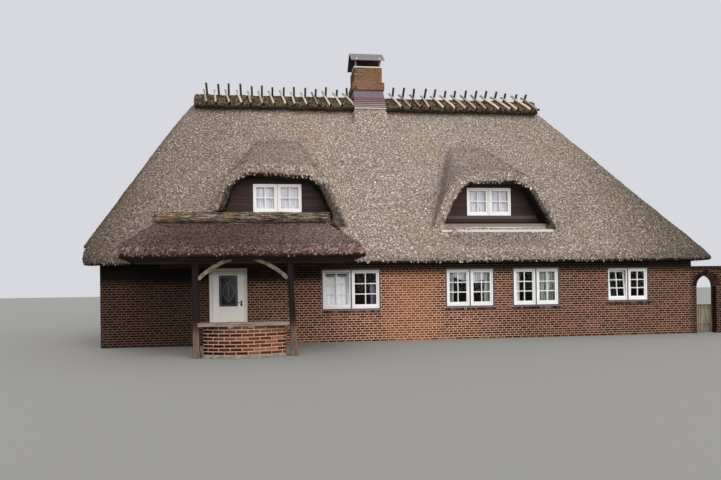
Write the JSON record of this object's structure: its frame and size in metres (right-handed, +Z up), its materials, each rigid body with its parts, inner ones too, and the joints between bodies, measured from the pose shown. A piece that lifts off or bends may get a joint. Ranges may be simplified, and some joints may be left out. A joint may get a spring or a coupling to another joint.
{
  "type": "thatched cottage",
  "caption": "Single-storey brick cottage with a hipped thatched roof, hooded dormers, pegged ridge cap, canopied porch and a garden wall with a gate.",
  "frame": {"origin": "on the ground, at the middle of the house's walls in plan, under the ground floor", "axes": "+Z up; +X along the front to the right, seen from the porch side; +Y into the house, away from the porch"},
  "size_m": [18.3249, 12.245, 9.45],
  "materials": {
    "brick": "rough red-brown brick with pale joints",
    "porch_brick": "rough dark red brick, larger than in the walls",
    "chimney_brick": "weathered ochre-orange brick",
    "thatch": "grey-brown reed ends, speckled, with ochre moss",
    "canopy_thatch": "red-brown reed ends, speckled",
    "ridge_turf": "dark matted turf under weathered oak pegs",
    "white_paint": "white painted joinery, satin",
    "window_glass": "clear window glass",
    "dark_boards": "dark maroon-brown horizontal boards",
    "pale_boards": "weathered pale boards",
    "dark_timber": "dark brown stained timber",
    "grey_timber": "weathered bare timber",
    "olive_timber": "pale olive-cream painted timber",
    "mossy_roll": "mossy rounded reed roll",
    "ribbed_metal": "mauve-brown ribbed sheet",
    "grey_metal": "dull grey-brown sheet",
    "black_iron": "black iron, satin",
    "floor_stone": "plain grey-brown floor tiles"
  },
  "bodies": {
    "house": {"attic_floor": "dark_timber", "back_wall": "brick", "back_window_1": "white_paint", "back_window_2": "white_paint", "back_window_3": "white_paint", "chimney_flashing": "ribbed_metal", "chimney_hood": "grey_metal", "chimney_stack": "chimney_brick", "door_frame": "white_paint", "dormer_left_face": "dark_boards", "dormer_left_glass": "window_glass", "dormer_left_roll": "mossy_roll", "dormer_left_window": "white_paint", "dormer_right_face": "dark_boards", "dormer_right_glass": "window_glass", "dormer_right_sill": "pale_boards", "dormer_right_window": "white_paint", "front_wall_left": "brick", "front_wall_over_door": "brick", "front_wall_right": "brick", "garden_wall": "brick", "ground_floor": "floor_stone", "left_wall": "brick", "left_window": "white_paint", "porch_beam": "dark_timber", "porch_brace_left": "olive_timber", "porch_brace_right": "olive_timber", "porch_ceiling": "dark_timber", "porch_low_wall": "porch_brick", "porch_plank": "grey_timber", "porch_post_left": "dark_timber", "porch_post_right": "dark_timber", "porch_thatch": "canopy_thatch", "porch_wall_beam": "dark_timber", "ridge_cap_left": "ridge_turf", "ridge_cap_right": "ridge_turf", "right_wall": "brick", "right_window": "white_paint", "thatch_back": "thatch", "thatch_dormer_left": "thatch", "thatch_dormer_right": "thatch", "thatch_front_left": "thatch", "thatch_front_middle": "thatch", "thatch_front_right": "thatch", "thatch_front_top": "thatch", "thatch_left_hip": "thatch", "thatch_right_hip": "thatch", "window_1": "white_paint", "window_1_glass": "window_glass", "window_2": "white_paint", "window_2_glass": "window_glass", "window_3": "white_paint", "window_3_glass": "window_glass", "window_4": "white_paint", "window_4_glass": "window_glass"},
    "front_door": {"front_door": "white_paint", "door_glass": "window_glass", "door_handle": "black_iron"},
    "garden_gate": {"garden_gate": "grey_timber"}
  },
  "joints": [
    {"name": "front_door_hinge", "type": "hinge", "parent": "house", "child": "front_door", "pos_m": [-5.385, -4.116, 1], "axis": [0, 0, 1], "range_deg": [0, 95]},
    {"name": "garden_gate_hinge", "type": "hinge", "parent": "house", "child": "garden_gate", "pos_m": [8.369, -3.988, 0.5], "axis": [0, 0, 1], "range_deg": [0, 90]}
  ]
}
